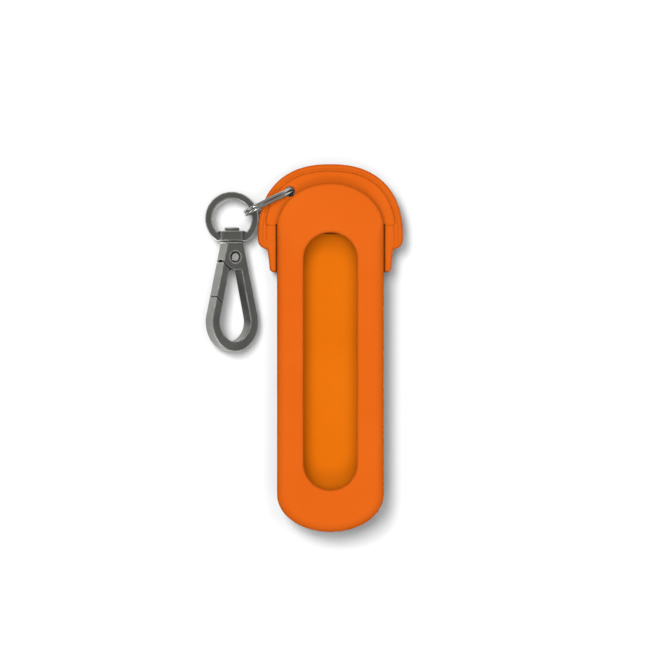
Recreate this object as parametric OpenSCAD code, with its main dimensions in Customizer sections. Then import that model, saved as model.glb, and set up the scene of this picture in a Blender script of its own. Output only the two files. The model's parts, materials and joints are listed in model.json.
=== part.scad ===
// Carry case for a 58 mm folding pocket tool: a moulded sleeve with an open window and a hinged
// hood, and a swivel snap hook on a split ring. The case lies on its back: +Y runs toward the
// hood, +Z out of the front, and the origin is the middle of the flat back face.

/* [Sleeve] */
// Width of the sleeve across its flat sides
sleeve_w = 22.2; // [22:0.1:23]
// Depth of the sleeve, back face to front face
sleeve_d = 13; // [12.8:0.1:13.6]
// Thickness of the sleeve's walls
wall = 2; // [1.8:0.1:2.2]
// Width of the window in the front wall
window_w = 11.1; // [9:0.1:12]
// Lowest point of the window
window_y0 = -29.6; // [-30:0.1:-24]
// Highest point of the window
window_y1 = 23.9; // [20:0.1:24]

/* [Hood] */
// Half width of the brim
brim_a = 15.2; // [15:0.05:15.3]
// Lowest point of the brim's underside
brim_z0 = 5.8; // [5.8:0.1:6]
// Thickness of the brim
brim_t = 2.2; // [2:0.1:2.4]
// Width of the thinner rim that runs round the brim
rim_w = 1.5; // [1:0.1:1.8]
// Gap between the hood and the sleeve
hood_gap = 0.3; // [0.25:0.05:0.35]
// Radius of the lanyard hole
hole_r = 1.1; // [1.1:0.05:1.2]

/* [Split ring] */
// Outer radius of the split ring
ring_r = 5.7; // [5.65:0.05:5.75]
// Radial thickness of the ring's flat wire
ring_wire = 0.8; // [0.7:0.05:0.8]
// Width of the two coils side by side
ring_w = 1.3; // [1.2:0.05:1.3]
// Heading of the ring's plane from its hole
ring_heading = 206; // [204:0.2:207]

/* [Snap hook] */
// Outer radius of the swivel eye
eye_r = 5.65; // [5.5:0.05:5.7]
// Radius of the hole in the swivel eye
eye_hole_r = 4.15; // [4.1:0.05:4.2]
// Thickness of the eye
eye_t = 1.9; // [1.7:0.1:1.9]
// Radius of the eye's collar
collar_r = 2.9; // [2.7:0.1:3]
// Thickness of the hook
hook_t = 3.6; // [3.4:0.1:3.8]
// Radius of the hook's round end
hook_r = 5.35; // [5.3:0.05:5.4]
// Radius of the opening's round end
hook_in_r = 3.55; // [3.4:0.05:3.6]
// Angle that the hook is rolled about its long axis
roll = 27; // [20:1:28]

/* [Hidden] */

silicone = [0.94, 0.42, 0.10];
steel = [0.78, 0.77, 0.74];
gunmetal = [0.35, 0.35, 0.33];

hw = sleeve_w / 2;
end_y = -30.6;                      // where the sleeve's sides meet its round bottom
end_b = 7.8;                        // length of the round bottom
arch_y = 24.7;                      // where the sides meet the arch of the tongue
arch_b = 9.4;                       // height of the arch
mouth_y = 25.5;                     // the sleeve's mouth
cap_y = mouth_y + hood_gap;         // the hood's open end
hinge_y = 24.9;                     // axis of the living hinge
hinge_half = 0.9;                   // half the web's length
hinge_half_w = 7;                   // half the web's width
web_z0 = 0.2;
web_z1 = 0.9;
tongue_z0 = sleeve_d - wall;        // underside of the tongue
cap_z1 = tongue_z0 - hood_gap;      // the cap's front face
brim_low_y = 20.6;                  // lower ends of the brim
brim_mid_y = 23.1;                  // where the brim is widest
brim_top_y = 38.4;
brim_power = 2.35;                  // fullness of the brim's outline
brim_end_r = 2;                     // corner radius of the brim's ends
ear_x0 = hw + hood_gap;
ear_x1 = 13.3;
ear_y0 = 15.8;
ear_taper = 0.65;                   // how much narrower the ear is at its lower end
ear_z0 = 2.6;
ear_lip_z = 4.2;                    // below this the ear closes on the sleeve
ear_lip_gap = 0.1;
band_step = 0.4;                    // how far the brim's inner band stands above its rim
hole_off = 1.42;                    // from the arch to the centre of the lanyard hole
hole_t = 133.5;                      // place of the hole round the arch

// The lanyard hole lies off the arch along the arch's normal.
arch_pt = [hw * cos(hole_t), arch_y + arch_b * sin(hole_t)];
arch_n = [arch_b * cos(hole_t), hw * sin(hole_t)] / norm([arch_b * cos(hole_t), hw * sin(hole_t)]);
hole = arch_pt + hole_off * arch_n;

ring_z = 6.0;                       // height of the split ring's centre
to_ring = 4.986;                    // hole to the ring's centre
to_eye = 8.4;                       // ring's centre to the eye's centre
eye_heading = 203.6;
function toward(a) = [cos(a), sin(a)];
ring_c = hole + to_ring * toward(ring_heading);
eye_c = ring_c + to_eye * toward(eye_heading);
eye_z = 4.6;

collar_y0 = -4.75;                  // the eye's flat end, from the eye's centre
collar_y1 = -2.6;
rivet_r = 1.1;
rivet_run = 0.06;                   // running clearance in the collar
rivet_head_r = 1.6;
rivet_head_t = 0.7;
neck_y = collar_y0 - 0.1;           // top of the hook's neck
neck_half = 1.8;
rivet_end_y = -6.2;
hook_cy = -21.6;                    // centre of the hook's round end
opening_top_y = -10.25;             // top of the hook's opening
opening_top_half = 1.3;
sag = 1.185;                        // the round end is this much longer than a half circle
pin_y = -8.1;
pin_r = 0.8;
pin_head_r = 0.9;                   // riveted ends of the pin
pin_head_t = 0.35;
pin_run = 0.06;
cheek_r = 3.5;                      // the cheeks' lower edge
cheek_c = [0.4, -7.35];
slot_t = 1.5;                       // slot between the cheeks
slot_top_y = -6.6;
slot_seam_x = -1.6;                 // above the seam the slot stays inside the hook
seam_y = -8.5;                      // top of the gate on the hook's outside
slot_low_y = -12.5;
slot_side_x = 1.5;                  // the slot's blind side
tongue_t = 1.36;
tongue_r = 1.35;                    // round the pin
nose = [-4.35, -16.45];             // where the gate's slanted seam leaves the hook's outside
nose_slope = 1.1;
play = 0.1;                         // gap round the gate
spring_w = 1;
spring_t = 0.2;
spring_len = 1.65;
spring_x = 1.2;

function arch(a, b, cy, n = 48, p = 2) =
    [for (i = [0:n]) let (t = 180 * i / n)
        [a * sign(cos(t)) * pow(abs(cos(t)), 2 / p), cy + b * pow(sin(t), 2 / p)]];

function turned(pts) = [for (p = pts) [-p[0], -p[1]]];

// Outline of the sleeve with its sides moved in by inset, up to the height top.
module sleeve_outline(inset, top) {
    a = hw - inset;
    polygon(concat([[a, top], [-a, top]],
                   turned(arch(a, end_b - inset, -end_y))));
}

module tongue_outline() {
    polygon(concat([[hw, mouth_y - 3]], arch(hw, arch_b, arch_y), [[-hw, mouth_y - 3]]));
}

// Outline of the cap above the height low, with its edge moved in by inset.
module cap_outline(inset, low) {
    difference() {
        polygon(arch(hw - inset, arch_b - inset, arch_y));
        translate([-hw, arch_y - 1]) square([2 * hw, low - arch_y + 1]);
    }
}

module window_outline() {
    r = window_w / 2;
    translate([0, window_y0 + r]) circle(r, $fn = 64);
    translate([0, window_y1 - r]) circle(r, $fn = 64);
    translate([-r, window_y0 + r]) square([window_w, window_y1 - window_y0 - window_w]);
}

// Outline of the brim, with its edge moved in by inset.
module brim_outline(inset) {
    a = brim_a - inset;
    r = brim_end_r - inset / 2;
    low = brim_low_y + inset / 2;
    left = [for (i = [0:8]) let (t = 90 * i / 8) [-a + r - r * cos(t), low + r - r * sin(t)]];
    right = [for (i = [8:-1:0]) [-left[i][0], left[i][1]]];
    polygon(concat(arch(a, brim_top_y - inset - brim_mid_y, brim_mid_y, 64, brim_power), left, right));
}

module window_cutter() {
    linear_extrude(wall + 1) window_outline();
}

module sleeve() {
    color(silicone) {
        difference() {
            linear_extrude(sleeve_d) sleeve_outline(0, mouth_y);
            translate([0, 0, wall]) linear_extrude(sleeve_d - 2 * wall) sleeve_outline(wall, mouth_y + 1);
            translate([0, 0, tongue_z0 - 0.5]) window_cutter();
            translate([-hinge_half_w, hinge_y - hinge_half, -1])
                cube([2 * hinge_half_w, mouth_y - hinge_y + hinge_half + 1, wall + 1]);
        }
        translate([0, 0, tongue_z0])
            difference() {
                linear_extrude(wall) tongue_outline();
                translate([0, 0, -0.5]) window_cutter();
            }
    }
}

module living_hinge() {
    color(silicone)
        translate([-hinge_half_w, hinge_y - hinge_half, web_z0])
            cube([2 * hinge_half_w, mouth_y - hinge_y + hinge_half + hood_gap, web_z1 - web_z0]);
}

// The space below the cap that the sleeve fills, from the height low up.
module sleeve_room(half, low) {
    translate([-half, ear_y0 - 1, low]) cube([2 * half, cap_y - ear_y0 + 1, sleeve_d + 2]);
}

module hood() {
    color(silicone)
        difference() {
            union() {
                linear_extrude(cap_z1) cap_outline(0, cap_y);
                translate([0, 0, brim_z0]) linear_extrude(brim_t) brim_outline(0);
                translate([0, 0, brim_z0]) linear_extrude(brim_t + band_step) brim_outline(rim_w);
                for (s = [-1, 1])
                    translate([0, 0, ear_z0])
                        linear_extrude(brim_z0 + brim_t - ear_z0)
                            polygon([[s * hw, ear_y0], [s * (ear_x1 - ear_taper), ear_y0],
                                     [s * ear_x1, brim_low_y], [s * ear_x1, arch_y], [s * hw, arch_y]]);
            }
            // hollow of the cap
            translate([0, 0, wall]) linear_extrude(cap_z1 - 2 * wall) cap_outline(wall, arch_y);
            // room for the sleeve
            sleeve_room(hw + ear_lip_gap, -1);
            sleeve_room(ear_x0, ear_lip_z);
            translate([hole[0], hole[1], brim_z0 - 1]) cylinder(r = hole_r, h = brim_t + 3, $fn = 48);
        }
}

module split_ring() {
    color(steel)
        translate([ring_c[0], ring_c[1], ring_z])
            rotate([90, 0, ring_heading])
                rotate_extrude($fn = 96)
                    translate([ring_r - ring_wire, -ring_w / 2]) square([ring_wire, ring_w]);
}

// Places its children at the eye's centre, lying flat.
module at_eye() {
    translate([eye_c[0], eye_c[1], eye_z]) children();
}

// Places its children at the eye's centre, rolled with the hook.
module at_hook() {
    at_eye() rotate([0, roll, 0]) children();
}

module along_y(y, r, h) {
    translate([0, y, 0]) rotate([-90, 0, 0]) cylinder(r = r, h = h, $fn = 48);
}

// Section of the eye: a bar with eased corners.
module eye_section() {
    ease = 0.5;
    t = eye_t / 2;
    polygon([[eye_hole_r + ease, -t], [eye_r - ease, -t], [eye_r, -t + ease], [eye_r, t - ease],
             [eye_r - ease, t], [eye_hole_r + ease, t], [eye_hole_r, t - ease], [eye_hole_r, -t + ease]]);
}

module swivel_eye() {
    color(gunmetal)
        at_eye()
            difference() {
                union() {
                    rotate_extrude($fn = 96) eye_section();
                    along_y(collar_y0, collar_r, collar_y1 - collar_y0);
                }
                translate([-eye_r, collar_y0 - 3, -eye_r]) cube([2 * eye_r, 3, 2 * eye_r]);
                along_y(collar_y0 - 1, rivet_r + rivet_run, collar_y1 - collar_y0 + 2);
            }
}

module swivel_rivet() {
    color(gunmetal)
        at_hook() {
            along_y(rivet_end_y, rivet_r, collar_y1 + play - rivet_end_y);
            along_y(collar_y1 + play, rivet_head_r, rivet_head_t);
        }
}

// Teardrop with a round end of radius r and a flat top of half width top_half at top_y.
module teardrop(r, top_half, top_y) {
    d = top_y - hook_cy;
    reach = norm([top_half, d]);
    t = acos(r / reach) + atan2(top_half, d);
    arc = [for (i = [0:48]) let (a = 90 - t - (360 - 2 * t) * i / 48)
        [r * cos(a), hook_cy + r * sin(a) * (sin(a) < 0 ? sag : 1)]];
    polygon(concat([[-top_half, top_y], [top_half, top_y]], arc));
}

module plate(t) {
    translate([0, 0, -t / 2]) linear_extrude(t) children();
}

module leg_ring() {
    difference() {
        teardrop(hook_r, neck_half, neck_y);
        teardrop(hook_in_r, opening_top_half, opening_top_y);
    }
}

// The part of the hook's outline that belongs to the gate.
module gate_zone(gap) {
    nose_low = nose - nose_slope * [0, -0.6 - nose[0]];
    nose_high = nose + nose_slope * [0, nose[0] + 8];
    difference() {
        polygon([[-8, nose_high[1] + gap], [-0.6, nose_low[1] + gap], [-0.6, seam_y - gap], [-8, seam_y - gap]]);
        translate(cheek_c) circle(cheek_r + gap, $fn = 64);
    }
}

module hook_body() {
    color(gunmetal)
        at_hook()
            difference() {
                union() {
                    plate(hook_t) difference() {
                        leg_ring();
                        gate_zone(0);
                    }
                    plate(hook_t) intersection() {
                        teardrop(hook_r, neck_half, neck_y);
                        translate(cheek_c) circle(cheek_r, $fn = 64);
                    }
                }
                // slot for the gate's tongue, open to the gate's side and below
                plate(slot_t) polygon([[-8, seam_y - play], [slot_seam_x, seam_y + 0.3],
                                       [slot_seam_x, slot_top_y], [slot_side_x, slot_top_y],
                                       [slot_side_x, slot_low_y], [-8, slot_low_y]]);
                along_y(rivet_end_y, rivet_r, 5);
                translate([0, pin_y, -hook_t]) cylinder(r = pin_r, h = 2 * hook_t, $fn = 48);
            }
}

module gate() {
    color(gunmetal)
        at_hook()
            difference() {
                union() {
                    plate(hook_t) intersection() {
                        leg_ring();
                        gate_zone(play);
                    }
                    plate(tongue_t) {
                        translate([0, pin_y]) circle(tongue_r, $fn = 48);
                        polygon([[-1.2, pin_y + 0.3], [0.9, pin_y - 1], [-1.8, pin_y - 3.6],
                                 [-3.2, pin_y - 3.6], [-2.4, pin_y - 1.6]]);
                    }
                }
                translate([0, pin_y, -hook_t]) cylinder(r = pin_r + pin_run, h = 2 * hook_t, $fn = 48);
            }
}

module gate_pin() {
    color(steel)
        at_hook()
            translate([0, pin_y, 0]) {
                translate([0, 0, -hook_t / 2]) cylinder(r = pin_r, h = hook_t, $fn = 48);
                for (s = [-1, 1])
                    translate([0, 0, s * hook_t / 2])
                        mirror([0, 0, s < 0 ? 1 : 0])
                            cylinder(r1 = pin_head_r, r2 = pin_r / 2, h = pin_head_t, $fn = 48);
            }
}

// A strip spring beside the gate's tongue, in the slot.
module gate_spring() {
    color(steel)
        at_hook()
            plate(spring_w)
                translate([spring_x, pin_y - 2.4]) square([spring_t, spring_len]);
}

sleeve();
living_hinge();
hood();
split_ring();
swivel_eye();
swivel_rivet();
hook_body();
gate();
gate_pin();
gate_spring();
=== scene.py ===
import json
import math
import bpy
import numpy as np
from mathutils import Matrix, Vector


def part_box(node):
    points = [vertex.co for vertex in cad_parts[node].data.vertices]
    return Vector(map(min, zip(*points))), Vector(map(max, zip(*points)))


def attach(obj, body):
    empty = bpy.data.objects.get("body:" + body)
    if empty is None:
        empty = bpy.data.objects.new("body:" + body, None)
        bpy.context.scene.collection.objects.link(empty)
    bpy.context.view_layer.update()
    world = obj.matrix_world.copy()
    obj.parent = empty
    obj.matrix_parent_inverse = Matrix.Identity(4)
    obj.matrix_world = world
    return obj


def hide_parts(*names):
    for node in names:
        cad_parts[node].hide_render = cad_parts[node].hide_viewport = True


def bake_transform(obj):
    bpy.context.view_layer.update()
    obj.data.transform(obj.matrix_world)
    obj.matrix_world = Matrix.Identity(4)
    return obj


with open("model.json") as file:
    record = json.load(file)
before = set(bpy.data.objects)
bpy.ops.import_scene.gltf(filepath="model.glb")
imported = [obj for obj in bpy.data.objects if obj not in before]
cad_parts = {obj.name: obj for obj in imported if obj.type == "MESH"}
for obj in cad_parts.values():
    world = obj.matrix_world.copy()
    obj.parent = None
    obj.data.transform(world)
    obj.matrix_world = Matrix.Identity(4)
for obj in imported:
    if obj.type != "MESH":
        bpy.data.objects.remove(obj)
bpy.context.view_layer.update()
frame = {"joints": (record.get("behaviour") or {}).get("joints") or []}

# ---------------------------------------------------------------------------
# Sizes. Everything below is in millimetres in the frame's own axes: +Y toward
# the hood, +Z out of the front. Meshes are scaled to metres when they are made.
# ---------------------------------------------------------------------------
MM = 0.001
joints = {j["name"]: j for j in frame["joints"]}


def box_mm(node):
    low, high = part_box(node)
    return np.array(low) / MM, np.array(high) / MM


def joint_mm(name):
    return np.array(joints[name]["pos_m"]) / MM


sleeve_low, sleeve_high = box_mm("sleeve")
hood_low, hood_high = box_mm("hood")
web_low, web_high = box_mm("living_hinge")

HALF_W = sleeve_high[0]              # half the sleeve's width
DEPTH = sleeve_high[2]               # back face to front face
WALL = 2.0
END_B = 7.8                          # length of the sleeve's round bottom
END_Y = sleeve_low[1] + END_B        # where the sides meet it
ARCH_B = 9.4                         # height of the tongue's arch
ARCH_Y = sleeve_high[1] - ARCH_B     # where the sides meet it
EDGE_R = 2.0                         # the moulding's long edges
ARCH_EDGE_R = 0.7                    # its edge round the arch
TONGUE_Z = DEPTH - WALL              # underside of the tongue
CAP_Z = hood_high[2]                 # front face of the cap
CAP_Y = web_high[1]                  # open end of the cap
MOUTH_Y = CAP_Y - 0.3                # the sleeve's mouth
NOTCH_Y = web_low[1]                 # the back wall stops here, at the web
WEB_HALF = web_high[0]

WINDOW_R = 5.55
WINDOW_Y0 = -29.6
WINDOW_Y1 = 23.9

BRIM_A = hood_high[0]
BRIM_TOP = hood_high[1]
BRIM_MID = 23.1                      # where the brim is widest
BRIM_LOW = 20.6                      # lower ends of the brim
BRIM_POWER = 2.35                    # fullness of its outline
BRIM_END_R = 2.0
BRIM_Z0 = 5.8
RIM_Z1 = 8.0                         # front of the rim
BAND_Z1 = 8.4                        # front of the band inside the rim
RIM_W = 1.5
EAR_X0 = HALF_W + 0.3
EAR_X1 = 13.3
EAR_Y0 = hood_low[1]
EAR_Z0 = 2.6
EAR_Z1 = 7.9
EAR_LIP_Z = 4.2                      # below this the ear closes on the sleeve
EAR_LIP_GAP = 0.1

hole = joint_mm("ring_swing")
HOLE_R = 1.1

ring_low, ring_high = box_mm("split_ring")
ring_c = (ring_low + ring_high) / 2
RING_R = (ring_high[2] - ring_low[2]) / 2
RING_WIRE = 0.8                      # radial thickness of the wire
COIL_W = 0.62                        # width of one coil
COIL_STEP = 0.68                     # from one coil to the next
ring_run = (ring_c - hole)[:2]
RING_HEADING = math.atan2(ring_run[1], ring_run[0])

eye_c = joint_mm("hook_swivel")
EYE_R = 5.65
EYE_HOLE_R = 4.15
EYE_T = 1.9
COLLAR_R = 2.9
COLLAR_Y0 = -4.75                    # measured from the eye's centre
COLLAR_Y1 = -2.6
RIVET_R = 1.1
RIVET_HEAD_R = 1.6
NECK_Y = COLLAR_Y0 - 0.1
NECK_HALF = 1.8
HOOK_T = 3.6
HOOK_R = 5.35
HOOK_IN_R = 3.55
HOOK_CY = -21.6                      # centre of the hook's round end
SAG = 1.185                          # the round end is this much longer than a half circle
OPENING_HALF = 1.3                   # the opening's flat top
OPENING_Y = -10.25
gate_axis = joints["gate_hinge"]["axis"]
ROLL = math.atan2(gate_axis[0], gate_axis[2])
PIN_Y = joint_mm("gate_hinge")[1] - eye_c[1]
PIN_R = 0.8
CHEEK_R = 3.5                        # the cheeks' lower edge
CHEEK_C = (0.4, -7.35)
SEAM_Y = -8.5                        # top of the gate on the hook's outside
SLOT_T = 1.5
SLOT_X0 = -1.6
SLOT_X1 = 1.5
SLOT_Y0 = -12.5
SLOT_Y1 = -6.6
TONGUE_T = 1.36
NOSE = (-4.35, -16.45)               # where the gate's seam leaves the hook's outside
NOSE_SLOPE = 1.1
PLAY = 0.1

# ---------------------------------------------------------------------------
# Solids as signed distances: below 0 inside. Each works on grids and points.
# ---------------------------------------------------------------------------


def join(a, b, r):
    """Union with a fillet of radius r in the corner."""
    return np.maximum(np.minimum(a, b), r) - np.hypot(np.maximum(r - a, 0), np.maximum(r - b, 0))


def meet(a, b, r):
    """Intersection with the edge rounded to radius r."""
    return np.minimum(np.maximum(a, b), -r) + np.hypot(np.maximum(a + r, 0), np.maximum(b + r, 0))


def slab(outline, z, z0, z1, r):
    """An outline's solid from z0 to z1, with its edges rounded to r."""
    return meet(outline, np.abs(z - (z0 + z1) / 2) - (z1 - z0) / 2, r)


def ellipse(x, y, a, b):
    k0 = np.sqrt((x / a) ** 2 + (y / b) ** 2)
    k1 = np.sqrt((x / a ** 2) ** 2 + (y / b ** 2) ** 2)
    return k0 * (k0 - 1) / np.maximum(k1, 1e-9)


def case_outline(x, y, inset=0.0, open_top=False):
    """The case seen from the front: straight sides, round bottom, arched top."""
    a = HALF_W - inset
    sides = np.abs(x) - a + 0 * y
    low = ellipse(x, y - END_Y, a, END_B - inset)
    d = np.where(y < END_Y, low, sides)
    if open_top:
        return d
    return np.where(y > ARCH_Y, ellipse(x, y - ARCH_Y, a, ARCH_B - inset), d)


def stadium(x, y, r, y0, y1):
    return np.hypot(x, y - np.clip(y, y0 + r, y1 - r)) - r


def brim_outline(x, y):
    n = BRIM_POWER
    u = np.maximum(np.abs(x), 1e-6) / BRIM_A
    b = BRIM_TOP - BRIM_MID
    v = np.maximum(y - BRIM_MID, 1e-6) / b
    k = (u ** n + v ** n) ** (1 / n)
    slope = np.hypot(k ** (1 - n) * u ** (n - 1) / BRIM_A, k ** (1 - n) * v ** (n - 1) / b)
    return meet((k - 1) / slope, BRIM_LOW - y, BRIM_END_R)


def envelope(x, y, z):
    arched = np.clip((y - ARCH_Y + 3) / 6, 0, 1)
    radius = EDGE_R + (ARCH_EDGE_R - EDGE_R) * arched ** 2 * (3 - 2 * arched)
    return slab(case_outline(x, y), z, 0, DEPTH, radius)


def sleeve_field(x, y, z):
    kept = join(y - MOUTH_Y, TONGUE_Z - z, 0.5)
    d = meet(envelope(x, y, z), kept, 0.35)
    pocket = slab(case_outline(x, y, WALL, open_top=True), z, WALL, TONGUE_Z, 3.2)
    d = meet(d, -pocket, 0.3)
    window = np.maximum(stadium(x, y, WINDOW_R, WINDOW_Y0, WINDOW_Y1), DEPTH / 2 - z)
    d = meet(d, -window, 0.7)
    notch = np.maximum(np.maximum(np.abs(x) - WEB_HALF, NOTCH_Y - y), z - WALL - 1)
    return meet(d, -notch, 0.15)


def hood_field(x, y, z):
    cap = meet(envelope(x, y, z), np.maximum(CAP_Y - y, z - CAP_Z), 0.35)
    brim = brim_outline(x, y)
    rim = slab(brim, z, BRIM_Z0, RIM_Z1, 0.95)
    band_outline = meet(brim + RIM_W, CAP_Y - 0.35 - y, 0.9)
    band = slab(band_outline, z, BRIM_Z0, BAND_Z1 - 0.12 * np.clip(24.5 - y, 0, 2), 0.45)
    groove = np.hypot(brim + RIM_W - 0.1, z - RIM_Z1 - 0.15) - 0.55
    plate = join(meet(rim, -groove, 0.25), band, 0.1)
    taper = 0.1 * np.maximum(22.2 - y, 0)
    ear_outline = meet(np.abs(x) - EAR_X1 + taper, np.maximum(EAR_Y0 - y, y - CAP_Y - 1), 0.75)
    ear = slab(ear_outline, z, EAR_Z0, EAR_Z1, 0.7)
    d = join(join(cap, plate, 0.35), ear, 0.4)
    hollow = slab(case_outline(x, y, WALL), z, WALL, CAP_Z - WALL, 2.2)
    d = meet(d, -hollow, 0.3)
    closed = np.clip((EAR_LIP_Z - z) / 0.3, 0, 1)
    room_half = EAR_X0 + (HALF_W + EAR_LIP_GAP - EAR_X0) * closed
    d = meet(d, -np.maximum(np.abs(x) - room_half, y - CAP_Y), 0.2)
    front = meet(z - CAP_Z, envelope(x, y, 0 * z + DEPTH / 2), 0.35)
    d = np.maximum(d, np.minimum(z - CAP_Z, front))
    eyelet = np.hypot(x - hole[0], y - hole[1]) - HOLE_R + 0 * z
    return meet(d, -eyelet, 0.12)


def eye_field(x, y, z):
    around = np.hypot(x, y)
    mid = (EYE_R + EYE_HOLE_R) / 2
    ring = slab(np.abs(around - mid) - (EYE_R - EYE_HOLE_R) / 2, z, -EYE_T / 2, EYE_T / 2, 0.25)
    tube = np.hypot(x, z) + 0 * y
    collar = slab(tube - COLLAR_R, y, COLLAR_Y0, COLLAR_Y1, 0.22)
    d = join(ring, collar, 0.35)
    d = meet(d, COLLAR_Y0 - y, 0.2)
    bore = np.maximum(tube - RIVET_R - PLAY, y)
    return meet(d, -bore, 0.1)


def teardrop(x, y, r, top_half, top_y):
    """A round end of radius r with straight sides up to a flat top."""
    rise = top_y - HOOK_CY
    reach = math.hypot(top_half, rise)
    turn = math.atan2(rise, top_half) - math.acos(r / reach)
    nx, ny = math.cos(turn), math.sin(turn)
    side = nx * np.abs(x) + ny * (y - HOOK_CY) - r
    along = -ny * np.abs(x) + nx * (y - HOOK_CY)
    d = np.where(along < 0, np.hypot(x, y - HOOK_CY) - r, side)
    return np.where(y < HOOK_CY, ellipse(x, y - HOOK_CY, r, SAG * r), d)


def hook_outline(x, y):
    outer = np.maximum(teardrop(x, y, HOOK_R, NECK_HALF, NECK_Y), y - NECK_Y)
    inner = np.maximum(teardrop(x, y, HOOK_IN_R, OPENING_HALF, OPENING_Y), y - OPENING_Y)
    return outer, meet(outer, -inner, 0.15)


def gate_zone(x, y, gap):
    """The part of the hook's outline that belongs to the gate."""
    nose = (NOSE[1] - NOSE_SLOPE * (x - NOSE[0]) - y) / math.hypot(1, NOSE_SLOPE) + gap
    cheek = CHEEK_R + gap - np.hypot(x - CHEEK_C[0], y - CHEEK_C[1])
    return np.maximum(np.maximum(nose, cheek), np.maximum(x + 0.6, y - SEAM_Y + gap))


def hook_field(x, y, z):
    outer, legs = hook_outline(x, y)
    cheek = meet(outer, np.hypot(x - CHEEK_C[0], y - CHEEK_C[1]) - CHEEK_R, 0.1)
    flat = np.minimum(meet(legs, -gate_zone(x, y, 0), 0.05), cheek)
    d = slab(flat, z, -HOOK_T / 2, HOOK_T / 2, 0.18)
    tube = np.hypot(x, z) + 0 * y
    shoulder = slab(tube - 2.55, y, NECK_Y - 0.45, NECK_Y, 0.2)
    d = join(d, shoulder, 0.2)
    slot = np.maximum(x - SLOT_X1, np.abs(z) - SLOT_T / 2)
    slot = np.maximum(slot, np.maximum(y - SLOT_Y1, SLOT_Y0 - y))
    slot = np.maximum(slot, -np.maximum(x - SLOT_X0, SEAM_Y - 0.15 - y))
    d = meet(d, -slot, 0.06)
    sink = 1.3 - 0.9 * (HOOK_T / 2 - np.abs(z))
    dimple = np.maximum(np.hypot(x, y - PIN_Y) - sink, HOOK_T / 2 - 0.4 - np.abs(z))
    return meet(d, -dimple, 0.12)


def seam_painted_shade(v):
    """1 beside the seam between the gate and the hook, where shade is painted."""
    x, y, z = v.T
    return np.clip(1.8 - np.abs(gate_zone(x, y, PLAY / 2)) / 0.12, 0, 1)


def hook_painted_shade(v):
    """1 where shade is painted: a dark reflection along the opening's long wall, a shade crescent at the
    dimple's top, and shade beside the seam.
    """
    x, y, z = v.T
    side = np.clip((HOOK_T / 2 - 0.1 - np.abs(z)) / 0.15, 0, 1)
    # Painted dark reflection along the opening's right-hand wall only.
    inner = teardrop(x, y, HOOK_IN_R, OPENING_HALF, OPENING_Y)
    long_wall = np.clip((y - HOOK_CY + 1.2) / 1.5, 0, 1) * (x > 0)
    opening = np.clip(1.5 - np.abs(inner) / 0.2, 0, 1) * long_wall
    # Painted shade crescent on the dimple's upper side.
    dimple = (np.hypot(x, y - PIN_Y) < 1.25) * np.clip((y - PIN_Y) / 0.3, 0, 1)
    return np.maximum.reduce([side * opening, 0.8 * dimple, seam_painted_shade(v)])


def gate_field(x, y, z):
    outer, legs = hook_outline(x, y)
    lever = slab(meet(legs, gate_zone(x, y, PLAY), 0.12), z, -HOOK_T / 2, HOOK_T / 2, 0.18)
    ax, ay = -2.3, -3.2
    t = np.clip((x * ax + (y - PIN_Y) * ay) / (ax * ax + ay * ay), 0, 1)
    tongue = np.maximum(np.hypot(x - t * ax, y - PIN_Y - t * ay) - 1.1, outer + 0.3)
    d = np.minimum(lever, slab(tongue, z, -TONGUE_T / 2, TONGUE_T / 2, 0.1))
    return np.maximum(d, PIN_R + PLAY - np.hypot(x, y - PIN_Y))


def rivet_field(x, y, z):
    tube = np.hypot(x, z) + 0 * y
    shank = slab(tube - RIVET_R, y, -6.2, COLLAR_Y1 + 0.2, 0.05)
    head = slab(tube - RIVET_HEAD_R, y, COLLAR_Y1 + 0.05, COLLAR_Y1 + 0.75, 0.32)
    return np.minimum(shank, head)


def pin_field(x, y, z):
    tube = np.hypot(x, y - PIN_Y) + 0 * z
    shank = slab(tube - PIN_R, z, -HOOK_T / 2, HOOK_T / 2, 0.05)
    dome = np.hypot(tube, np.abs(z) - (HOOK_T / 2 - 0.85)) - 1.05
    head = np.maximum(dome, HOOK_T / 2 - 0.4 - np.abs(z))
    return np.minimum(shank, np.maximum(head, tube - 0.9))


# ---------------------------------------------------------------------------
# Meshes from solids: one vertex per grid cell that the surface crosses, then
# every vertex settled on to the surface itself.
# ---------------------------------------------------------------------------


def gradient(field, v, h):
    g = np.empty_like(v)
    for axis in range(3):
        step = np.zeros(3)
        step[axis] = h
        ahead, behind = v + step, v - step
        g[:, axis] = (field(*ahead.T) - field(*behind.T)) / (2 * h)
    return g


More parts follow.
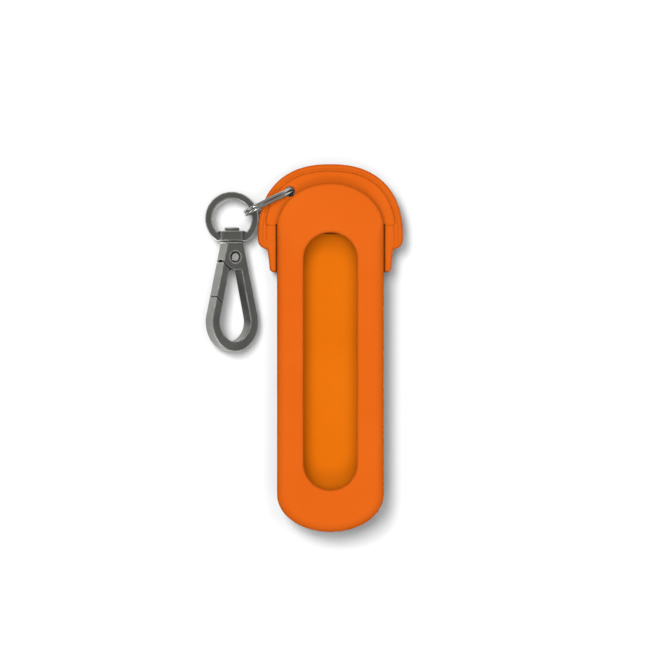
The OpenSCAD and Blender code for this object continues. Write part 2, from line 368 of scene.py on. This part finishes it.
def surface_net(field, low, high, step):
    axes = [np.arange(a - 1.5 * step, b + 2 * step, step) for a, b in zip(low, high)]
    grid = np.meshgrid(*axes, indexing="ij", sparse=True)
    f = np.broadcast_to(field(*grid), [len(a) for a in axes])
    inside = f < 0
    origin = np.array([a[0] for a in axes])
    strides = np.array([len(axes[1]) * len(axes[2]), len(axes[2]), 1])
    cells, points, quads = [], [], []
    for a in range(3):
        b, c = (a + 1) % 3, (a + 2) % 3
        start = [slice(None)] * 3
        end = [slice(None)] * 3
        start[a], end[a] = slice(0, -1), slice(1, None)
        s_in, e_in = inside[tuple(start)], inside[tuple(end)]
        idx = np.argwhere(s_in != e_in)
        f0 = f[tuple(idx.T)]
        nxt = idx.copy()
        nxt[:, a] += 1
        f1 = f[tuple(nxt.T)]
        pos = idx.astype(float)
        pos[:, a] += f0 / (f0 - f1)
        flat = idx @ strides
        around = [flat - strides[b] - strides[c], flat - strides[c], flat, flat - strides[b]]
        for cell in around:
            cells.append(cell)
            points.append(pos)
        face = np.stack(around, axis=1)
        face[f0 >= 0] = face[f0 >= 0][:, ::-1]
        quads.append(face)
    cells = np.concatenate(cells)
    points = np.concatenate(points)
    quads = np.concatenate(quads)
    ids, inverse = np.unique(cells, return_inverse=True)
    count = np.bincount(inverse).astype(float)
    v = np.stack([np.bincount(inverse, weights=points[:, k]) / count for k in range(3)], axis=1)
    v = origin + v * step
    for _ in range(4):
        g = gradient(field, v, step * 0.05)
        size = np.maximum((g * g).sum(1), 0.05)
        move = -(field(*v.T) / size)[:, None] * g
        length = np.linalg.norm(move, axis=1, keepdims=True)
        v += move * np.minimum(1, 0.5 * step / np.maximum(length, 1e-9))
    return v, np.searchsorted(ids, quads), gradient(field, v, step * 0.05)


def mesh_object(name, v, faces, normals=None, place=None):
    """A smooth-shaded object from millimetre vertices; place moves vertices and normals."""
    if place is not None:
        v = place(v)
        normals = None if normals is None else place(normals, False)
    mesh = bpy.data.meshes.new(name)
    mesh.from_pydata((v * MM).tolist(), [], faces.tolist())
    mesh.shade_smooth()
    if normals is not None:
        unit = normals / np.maximum(np.linalg.norm(normals, axis=1, keepdims=True), 1e-9)
        mesh.normals_split_custom_set_from_vertices(unit.tolist())
    obj = bpy.data.objects.new(name, mesh)
    bpy.context.scene.collection.objects.link(obj)
    return obj


BEND_REACH = 0.1                     # over which an edge's sharpness is measured
DULL_BEND = 1.2                      # edges rounder than this (1/mm) get no rubbing and no painted highlight
BRIGHT_BEND = 3.6                    # edges sharper than this get full rubbing and a painted highlight


def solid_object(name, field, low, high, step, place=None, shade=None):
    """A piece with its mesh; each vertex holds how bright its edge is made (rubbing plus a painted
    highlight) and how much painted shade it takes.
    """
    v, faces, normals = surface_net(field, low, high, step)
    obj = mesh_object(name, v, faces, normals, place)
    bend = -6 * field(*v.T)
    for axis in range(3):
        reach = np.zeros(3)
        reach[axis] = BEND_REACH
        bend = bend + field(*(v + reach).T) + field(*(v - reach).T)
    painted_shade_amount = v[:, 0] * 0 if shade is None else shade(v)
    sharpness = bend / BEND_REACH ** 2
    # Sharp edges are made brighter: partly real rubbing of the plating, partly a painted highlight; none
    # where shade is painted.
    rubbed_and_highlit = np.clip((sharpness - DULL_BEND) / (BRIGHT_BEND - DULL_BEND), 0, 1) * (1 - painted_shade_amount)
    for attribute, values in (("wear_and_highlight", rubbed_and_highlit), ("painted_shade", painted_shade_amount)):
        obj.data.attributes.new(attribute, "FLOAT", "POINT").data.foreach_set("value", values)
    return obj


def at_eye(v, shift=True):
    return v + eye_c if shift else v


def at_hook(v, shift=True):
    """From the hook's own axes, rolled about its length, to the frame's."""
    c, s = math.cos(ROLL), math.sin(ROLL)
    turned = np.stack([v[:, 0] * c + v[:, 2] * s, v[:, 1], v[:, 2] * c - v[:, 0] * s], axis=1)
    return turned + eye_c if shift else turned


# ---------------------------------------------------------------------------
# Materials
# ---------------------------------------------------------------------------


def node_material(name):
    material = bpy.data.materials.new(name)
    material.use_nodes = True
    nodes = material.node_tree.nodes
    return material, nodes, material.node_tree.links, nodes["Principled BSDF"]


def add_noise(nodes, links, scale, detail=3.0, stretch=None):
    coords = nodes.new("ShaderNodeTexCoord")
    noise = nodes.new("ShaderNodeTexNoise")
    noise.inputs["Scale"].default_value = scale
    noise.inputs["Detail"].default_value = detail
    source = coords.outputs["Object"]
    if stretch:
        mapping = nodes.new("ShaderNodeMapping")
        mapping.inputs["Scale"].default_value = stretch
        links.new(source, mapping.inputs["Vector"])
        source = mapping.outputs["Vector"]
    links.new(source, noise.inputs["Vector"])
    return noise.outputs["Fac"]


def add_ramp(nodes, links, source, stops):
    ramp = nodes.new("ShaderNodeValToRGB")
    elements = ramp.color_ramp.elements
    while len(elements) < len(stops):
        elements.new(0.5)
    for element, (place, colour) in zip(elements, stops):
        element.position = place
        element.color = (*colour, 1)
    links.new(source, ramp.inputs["Fac"])
    return ramp.outputs["Color"]


def add_bump(nodes, links, shader, layers):
    """Bumps from (height, strength, distance) layers, chained into the shader."""
    normal = None
    for height, strength, distance in layers:
        bump = nodes.new("ShaderNodeBump")
        bump.inputs["Strength"].default_value = strength
        bump.inputs["Distance"].default_value = distance
        links.new(height, bump.inputs["Height"])
        if normal is not None:
            links.new(normal, bump.inputs["Normal"])
        normal = bump.outputs["Normal"]
    links.new(normal, shader.inputs["Normal"])


def silicone_material(name, *tint):
    material, nodes, links, shader = node_material(name)
    cloudy = add_noise(nodes, links, 60, 4)
    colour = add_ramp(nodes, links, cloudy, [(0.3, tint[0]), (0.7, tint[1])])
    links.new(colour, shader.inputs["Base Color"])
    patchy = add_noise(nodes, links, 350, 5)
    rough = add_ramp(nodes, links, patchy, [(0.3, (0.46,) * 3), (0.7, (0.58,) * 3)])
    links.new(rough, shader.inputs["Roughness"])
    fine = add_noise(nodes, links, 9000, 2)
    broad = add_noise(nodes, links, 700, 3)
    add_bump(nodes, links, shader, [(fine, 0.12, 0.00003), (broad, 0.06, 0.0001)])
    shader.inputs["Specular IOR Level"].default_value = 0.0
    shader.inputs["Subsurface Weight"].default_value = 0.08
    shader.inputs["Subsurface Radius"].default_value = (1.0, 0.35, 0.08)
    shader.inputs["Subsurface Scale"].default_value = 0.0015
    return material


def metal_material(name, dark, light, worn_and_highlit, rough, stretch, tint_scale=250):
    """Plated metal: a cloudy tint, fine brushing, edges brighter from rubbing plus a painted highlight,
    and painted shade where a piece asks for it.
    """
    material, nodes, links, shader = node_material(name)
    shader.inputs["Metallic"].default_value = 1.0
    cloudy = add_noise(nodes, links, tint_scale, 5)
    tint = add_ramp(nodes, links, cloudy, [(0.35, dark), (0.65, light)])
    # Edges brighter by the per-vertex value from solid_object: rubbing plus a painted highlight.
    rubbed_and_highlit = nodes.new("ShaderNodeAttribute")
    rubbed_and_highlit.attribute_name = "wear_and_highlight"
    uneven = nodes.new("ShaderNodeMath")
    uneven.operation = "MULTIPLY"
    links.new(rubbed_and_highlit.outputs["Fac"], uneven.inputs[0])
    patches = add_noise(nodes, links, 900, 3)
    links.new(add_ramp(nodes, links, patches, [(0.3, (0.35,) * 3), (0.65, (1, 1, 1))]), uneven.inputs[1])
    mix = nodes.new("ShaderNodeMix")
    mix.data_type = "RGBA"
    links.new(uneven.outputs[0], mix.inputs["Factor"])
    # Painted shade: the tint darkened to 0.3 of its dark stop where a piece sets it.
    painted_shade_input = nodes.new("ShaderNodeAttribute")
    painted_shade_input.attribute_name = "painted_shade"
    darkened = nodes.new("ShaderNodeMix")
    darkened.data_type = "RGBA"
    links.new(painted_shade_input.outputs["Fac"], darkened.inputs["Factor"])
    links.new(tint, darkened.inputs["A"])
    darkened.inputs["B"].default_value = (*(0.3 * c for c in dark), 1)
    tint = darkened.outputs["Result"]
    links.new(tint, mix.inputs["A"])
    mix.inputs["B"].default_value = (*worn_and_highlit, 1)
    links.new(mix.outputs["Result"], shader.inputs["Base Color"])
    brushed = add_noise(nodes, links, 2500, 4, stretch)
    roughness = add_ramp(nodes, links, brushed, [(0.3, (rough[0],) * 3), (0.7, (rough[1],) * 3)])
    links.new(roughness, shader.inputs["Roughness"])
    pits = add_noise(nodes, links, 6000, 2)
    add_bump(nodes, links, shader, [(brushed, 0.1, 0.00002), (pits, 0.06, 0.00002)])
    return material


silicone = silicone_material("orange_silicone", (0.725, 0.125, 0.008), (0.76, 0.137, 0.011))
# Painted light: a brighter, yellower copy of the silicone for the pocket's inside, standing in for light
# within the pocket.
pocket_silicone_painted_light = silicone_material("pocket_silicone_painted_light", (0.755, 0.158, 0.003), (0.795, 0.173, 0.005))
gunmetal = metal_material("gunmetal_plate", (0.2, 0.2, 0.187), (0.25, 0.248, 0.232), (0.75, 0.74, 0.71),
                          (0.27, 0.4), (1, 0.2, 1))
ring_steel = metal_material("nickel_plate", (0.4, 0.395, 0.375), (0.5, 0.49, 0.47), (0.85, 0.84, 0.82),
                            (0.1, 0.2), (1, 1, 0.3))
pin_steel = metal_material("plain_steel", (0.75, 0.74, 0.71), (0.85, 0.84, 0.82), (0.92, 0.91, 0.9),
                           (0.15, 0.28), (1, 1, 1))


def finish_piece(obj, body, material, slot, *nodes):
    obj.data.materials.append(material)
    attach(obj, body)
    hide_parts(*nodes)


# ---------------------------------------------------------------------------
# The silicone moulding
# ---------------------------------------------------------------------------
sleeve = solid_object("sleeve_moulding", sleeve_field, sleeve_low, sleeve_high, 0.3)
finish_piece(sleeve, "case", silicone, "silicone", "sleeve")
sleeve.data.materials.append(pocket_silicone_painted_light)
# Faces inside the pocket take the painted-light copy of the silicone.
for face in sleeve.data.polygons:
    x, y, z = face.center / MM
    inside = case_outline(x, y, WALL - 0.3, open_top=True) < 0 and WALL - 0.3 < z < TONGUE_Z + 0.3
    face.material_index = int(inside)

hood = solid_object("hood_moulding", hood_field, hood_low, hood_high, 0.22)
finish_piece(hood, "hood", silicone, "silicone", "hood")


def hinge_web():
    """A thin web with a crease along its middle and enough rows to bend."""
    rows, columns = 16, 24
    y = np.linspace(web_low[1] - 0.25, web_high[1] + 0.25, rows + 1)
    x = np.linspace(web_low[0] + 0.05, web_high[0] - 0.05, columns + 1)
    centre = (web_low[1] + web_high[1]) / 2
    half = (web_high[1] - web_low[1]) / 2
    thick = 0.32 + 0.1 * np.clip(np.abs(y - centre) / half, 0, 1) ** 2
    mid_z = (web_low[2] + web_high[2]) / 2
    v, faces = [], []
    for side in (-1, 1):
        for yy, t in zip(y, thick):
            v += [(xx, yy, mid_z + side * t) for xx in x]
    n = columns + 1
    top = (rows + 1) * n
    for i in range(rows):
        for j in range(columns):
            a = i * n + j
            faces.append((a, a + n, a + n + 1, a + 1))
            faces.append((top + a, top + a + 1, top + a + n + 1, top + a + n))
    for i in range(rows):
        a, b = i * n, i * n + columns
        faces.append((a, top + a, top + a + n, a + n))
        faces.append((b, b + n, top + b + n, top + b))
    for j in range(columns):
        a, b = j, rows * n + j
        faces.append((a, a + 1, top + a + 1, top + a))
        faces.append((b, top + b, top + b + 1, b + 1))
    return mesh_object("hinge_web", np.array(v), np.array(faces))


web = hinge_web()
web.data.materials.append(silicone)
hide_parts("living_hinge")
for moulding in (sleeve, hood, web):
    moulding.visible_diffuse = False     # keeps shadows and metal neutral
    moulding.visible_glossy = False
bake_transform(web)

# ---------------------------------------------------------------------------
# The split ring: two turns of flat wire that cross over at the bottom
# ---------------------------------------------------------------------------


def split_ring():
    turns_start, turns_end, ramp = math.radians(22), math.radians(698), math.radians(20)
    count = 260
    profile = []
    corner = 0.28
    for cx, cy, start in ((1, 1, 0), (-1, 1, 90), (-1, -1, 180), (1, -1, 270)):
        for k in range(4):
            t = math.radians(start + 30 * k)
            profile.append((cx * (RING_WIRE / 2 - corner) + corner * math.cos(t),
                            cy * (COIL_W / 2 - corner) + corner * math.sin(t)))
    profile = np.array(profile)
    m = len(profile)
    v = []
    radial = np.array([math.cos(RING_HEADING), math.sin(RING_HEADING), 0])
    across = np.array([-math.sin(RING_HEADING), math.cos(RING_HEADING), 0])
    up = np.array([0, 0, 1.0])
    middle_r = RING_R - RING_WIRE / 2
    crossing = math.radians(-80)
    for i in range(count + 1):
        angle = turns_start + (turns_end - turns_start) * i / count
        blend = np.clip((angle - 2 * math.pi + ramp) / (2 * ramp), 0, 1)
        offset = COIL_STEP * (blend * blend * (3 - 2 * blend) - 0.5)
        shrink = 1.0
        for end in (i, count - i):
            if end < 3:
                shrink = (0.55, 0.85, 0.97)[end]
        t = angle + crossing
        out = radial * math.cos(t) + up * math.sin(t)
        for px, py in profile * shrink:
            v.append(ring_c + out * (middle_r + px) + across * (offset + py))
    faces = []
    for i in range(count):
        for k in range(m):
            a, b = i * m + k, i * m + (k + 1) % m
            faces.append((a, b, b + m, a + m))
    v = np.array(v)
    obj_faces = [tuple(f) for f in faces]
    obj_faces.append(tuple(range(m - 1, -1, -1)))
    obj_faces.append(tuple(count * m + k for k in range(m)))
    mesh = bpy.data.meshes.new("split_ring_coils")
    mesh.from_pydata((v * MM).tolist(), [], obj_faces)
    mesh.shade_smooth()
    obj = bpy.data.objects.new("split_ring_coils", mesh)
    bpy.context.scene.collection.objects.link(obj)
    return obj


finish_piece(split_ring(), "ring", ring_steel, "ring_steel", "split_ring")

# ---------------------------------------------------------------------------
# The swivel snap hook
# ---------------------------------------------------------------------------
eye_span = np.array([EYE_R, EYE_R, COLLAR_R])
eye = solid_object("eye_casting", eye_field, -eye_span, eye_span, 0.09, at_eye)
finish_piece(eye, "eye", gunmetal, "gunmetal", "swivel_eye")

hook_span_low = np.array([-HOOK_R - 0.1, HOOK_CY - SAG * HOOK_R - 0.1, -2.6])
hook_span_high = np.array([HOOK_R + 0.1, NECK_Y, 2.6])
# The hook's casting takes painted shade in its opening, dimple and seam.
hook = solid_object("hook_casting", hook_field, hook_span_low, hook_span_high, 0.1, at_hook,
                    hook_painted_shade)
finish_piece(hook, "hook", gunmetal, "gunmetal", "hook_body")

gate_span_high = np.array([1.5, PIN_Y + 1.5, 2.0])
# The gate takes painted shade beside its seam.
gate = solid_object("gate_lever", gate_field, hook_span_low, gate_span_high, 0.1, at_hook,
                    seam_painted_shade)
finish_piece(gate, "gate", gunmetal, "gunmetal", "gate")

rivet_low = np.array([-1.7, -6.3, -1.7])
rivet = solid_object("swivel_stud", rivet_field, rivet_low, np.array([1.7, -1.8, 1.7]), 0.08, at_hook)
finish_piece(rivet, "hook", gunmetal, "gunmetal", "swivel_rivet")

pin_low = np.array([-1.0, PIN_Y - 1.0, -2.2])
pin = solid_object("gate_rivet", pin_field, pin_low, np.array([1.0, PIN_Y + 1.0, 2.2]), 0.06, at_hook)
finish_piece(pin, "hook", pin_steel, "pin_steel", "gate_pin")


def gate_spring():
    """A small coil spring lying in the slot beside the gate's tongue."""
    turns, count, sides, wire, radius = 5, 140, 8, 0.07, 0.3
    low, high = PIN_Y - 2.35, PIN_Y - 0.8
    v, faces = [], []
    for i in range(count + 1):
        t = i / count
        a = 2 * math.pi * turns * t
        across = 1.3 + radius * 0.35 * math.cos(a)
        centre = np.array([across, low + (high - low) * t, radius * math.sin(a)])
        out = np.array([math.cos(a), 0, math.sin(a)])
        for k in range(sides):
            b = 2 * math.pi * k / sides
            v.append(centre + wire * (out * math.cos(b) + np.array([0, math.sin(b), 0])))
    for i in range(count):
        for k in range(sides):
            p, q = i * sides + k, i * sides + (k + 1) % sides
            faces.append((p, p + sides, q + sides, q))
    faces.append(tuple(range(sides)))
    faces.append(tuple(count * sides + sides - 1 - k for k in range(sides)))
    mesh = bpy.data.meshes.new("gate_return_spring")
    mesh.from_pydata((at_hook(np.array(v)) * MM).tolist(), [], faces)
    mesh.shade_smooth()
    obj = bpy.data.objects.new("gate_return_spring", mesh)
    bpy.context.scene.collection.objects.link(obj)
    return obj


finish_piece(gate_spring(), "hook", pin_steel, "pin_steel", "gate_spring")

# ---------------------------------------------------------------------------
# Stage: pale floor, soft light from the upper left, long-lens camera above
# ---------------------------------------------------------------------------
bpy.ops.mesh.primitive_plane_add(size=4, location=(0, 0, -0.0002))
floor = bpy.context.object
floor.name = "floor"
floor_material, *_, floor_shader = node_material("pale_floor")
floor_shader.inputs["Base Color"].default_value = (0.92, 0.92, 0.92, 1)
floor_shader.inputs["Roughness"].default_value = 0.9
floor_shader.inputs["Specular IOR Level"].default_value = 0.1
floor.data.materials.append(floor_material)


LIGHT_Z = 0.76                       # height of the softboxes, in metres


def receivers(name, objects):
    """What one group of lights falls on."""
    group = bpy.data.collections.new(name)
    for obj in objects:
        group.objects.link(obj)
    return group


def area_light(name, place, target, size, power, group):
    """A softbox, size wide and long. Reflections show the room and not the softbox."""
    data = bpy.data.lights.new(name, "AREA")
    data.shape = "RECTANGLE"
    data.size, data.size_y = size
    data.energy = power
    light = bpy.data.objects.new(name, data)
    light.location = place
    light.rotation_euler = (Vector(target) - Vector(place)).to_track_quat("-Z", "Y").to_euler()
    light.visible_glossy = False
    light.light_linking.receiver_collection = group
    bpy.context.scene.collection.objects.link(light)
    return light


def light_group(name, group, lean, key_power, fill_power, reach_x, reach_y):
    """A key softbox leaning to the upper left with a ring of six fills round the zenith."""
    key_place = (-0.65 * lean, 0.75 * lean, LIGHT_Z)
    area_light(name + "_key", key_place, (0, 0, 0), (0.18, 0.3), key_power, group)
    for k in range(6):
        bearing = math.radians(60 * k)
        place = (reach_x * math.cos(bearing), reach_y * math.sin(bearing), LIGHT_Z)
        area_light("%s_fill_%d" % (name, k), place, (0, 0, 0), (0.18, 0.18), fill_power, group)


pieces = [obj for obj in bpy.context.scene.objects if obj.type == "MESH" and obj is not floor]
# The floor's own lights lean further, for the photograph's long shadow. The object's stand
# nearly overhead, or the window's left side would lie in deep shade.
light_group("floor", receivers("floor_light", [floor]), 0.21, 4.1, 0.64, 0.25, 0.25)
light_group("piece", receivers("piece_light", pieces), 0.07, 2.35, 0.78, 0.13, 0.3)

metal = [obj for obj in pieces if obj.data.materials[0] in (gunmetal, ring_steel, pin_steel)]
metal_light = receivers("metal_light", metal)
sparkle = area_light("sparkle", (-0.3, -0.34, 0.16), (-0.02, 0.01, 0), (0.12, 0.06), 0.5, metal_light)
sparkle.visible_glossy = True        # the one light that metal reflects

world = bpy.data.worlds.new("studio")
bpy.context.scene.world = world
world.use_nodes = True
world.node_tree.nodes["Background"].inputs["Color"].default_value = (1, 1, 1, 1)
world.node_tree.nodes["Background"].inputs["Strength"].default_value = 0.42
world.cycles_visibility.diffuse = False      # the room shows in reflections only
bpy.context.scene.view_settings.view_transform = "Standard"

VIEW_W = 140.2                       # width of the view at the case, in mm
CAMERA_Z = 620.0
AIM = Vector((0.97, 2.6, 8.0)) * MM
camera_data = bpy.data.cameras.new("camera")
camera_data.sensor_width = 36
camera_data.lens = 36 * (CAMERA_Z - 8.0) / VIEW_W
camera_data.clip_start = 0.01
camera = bpy.data.objects.new("camera", camera_data)
camera.location = (AIM.x, AIM.y, CAMERA_Z * MM)
bpy.context.scene.collection.objects.link(camera)
bpy.context.scene.camera = camera

bpy.context.view_layer.update()
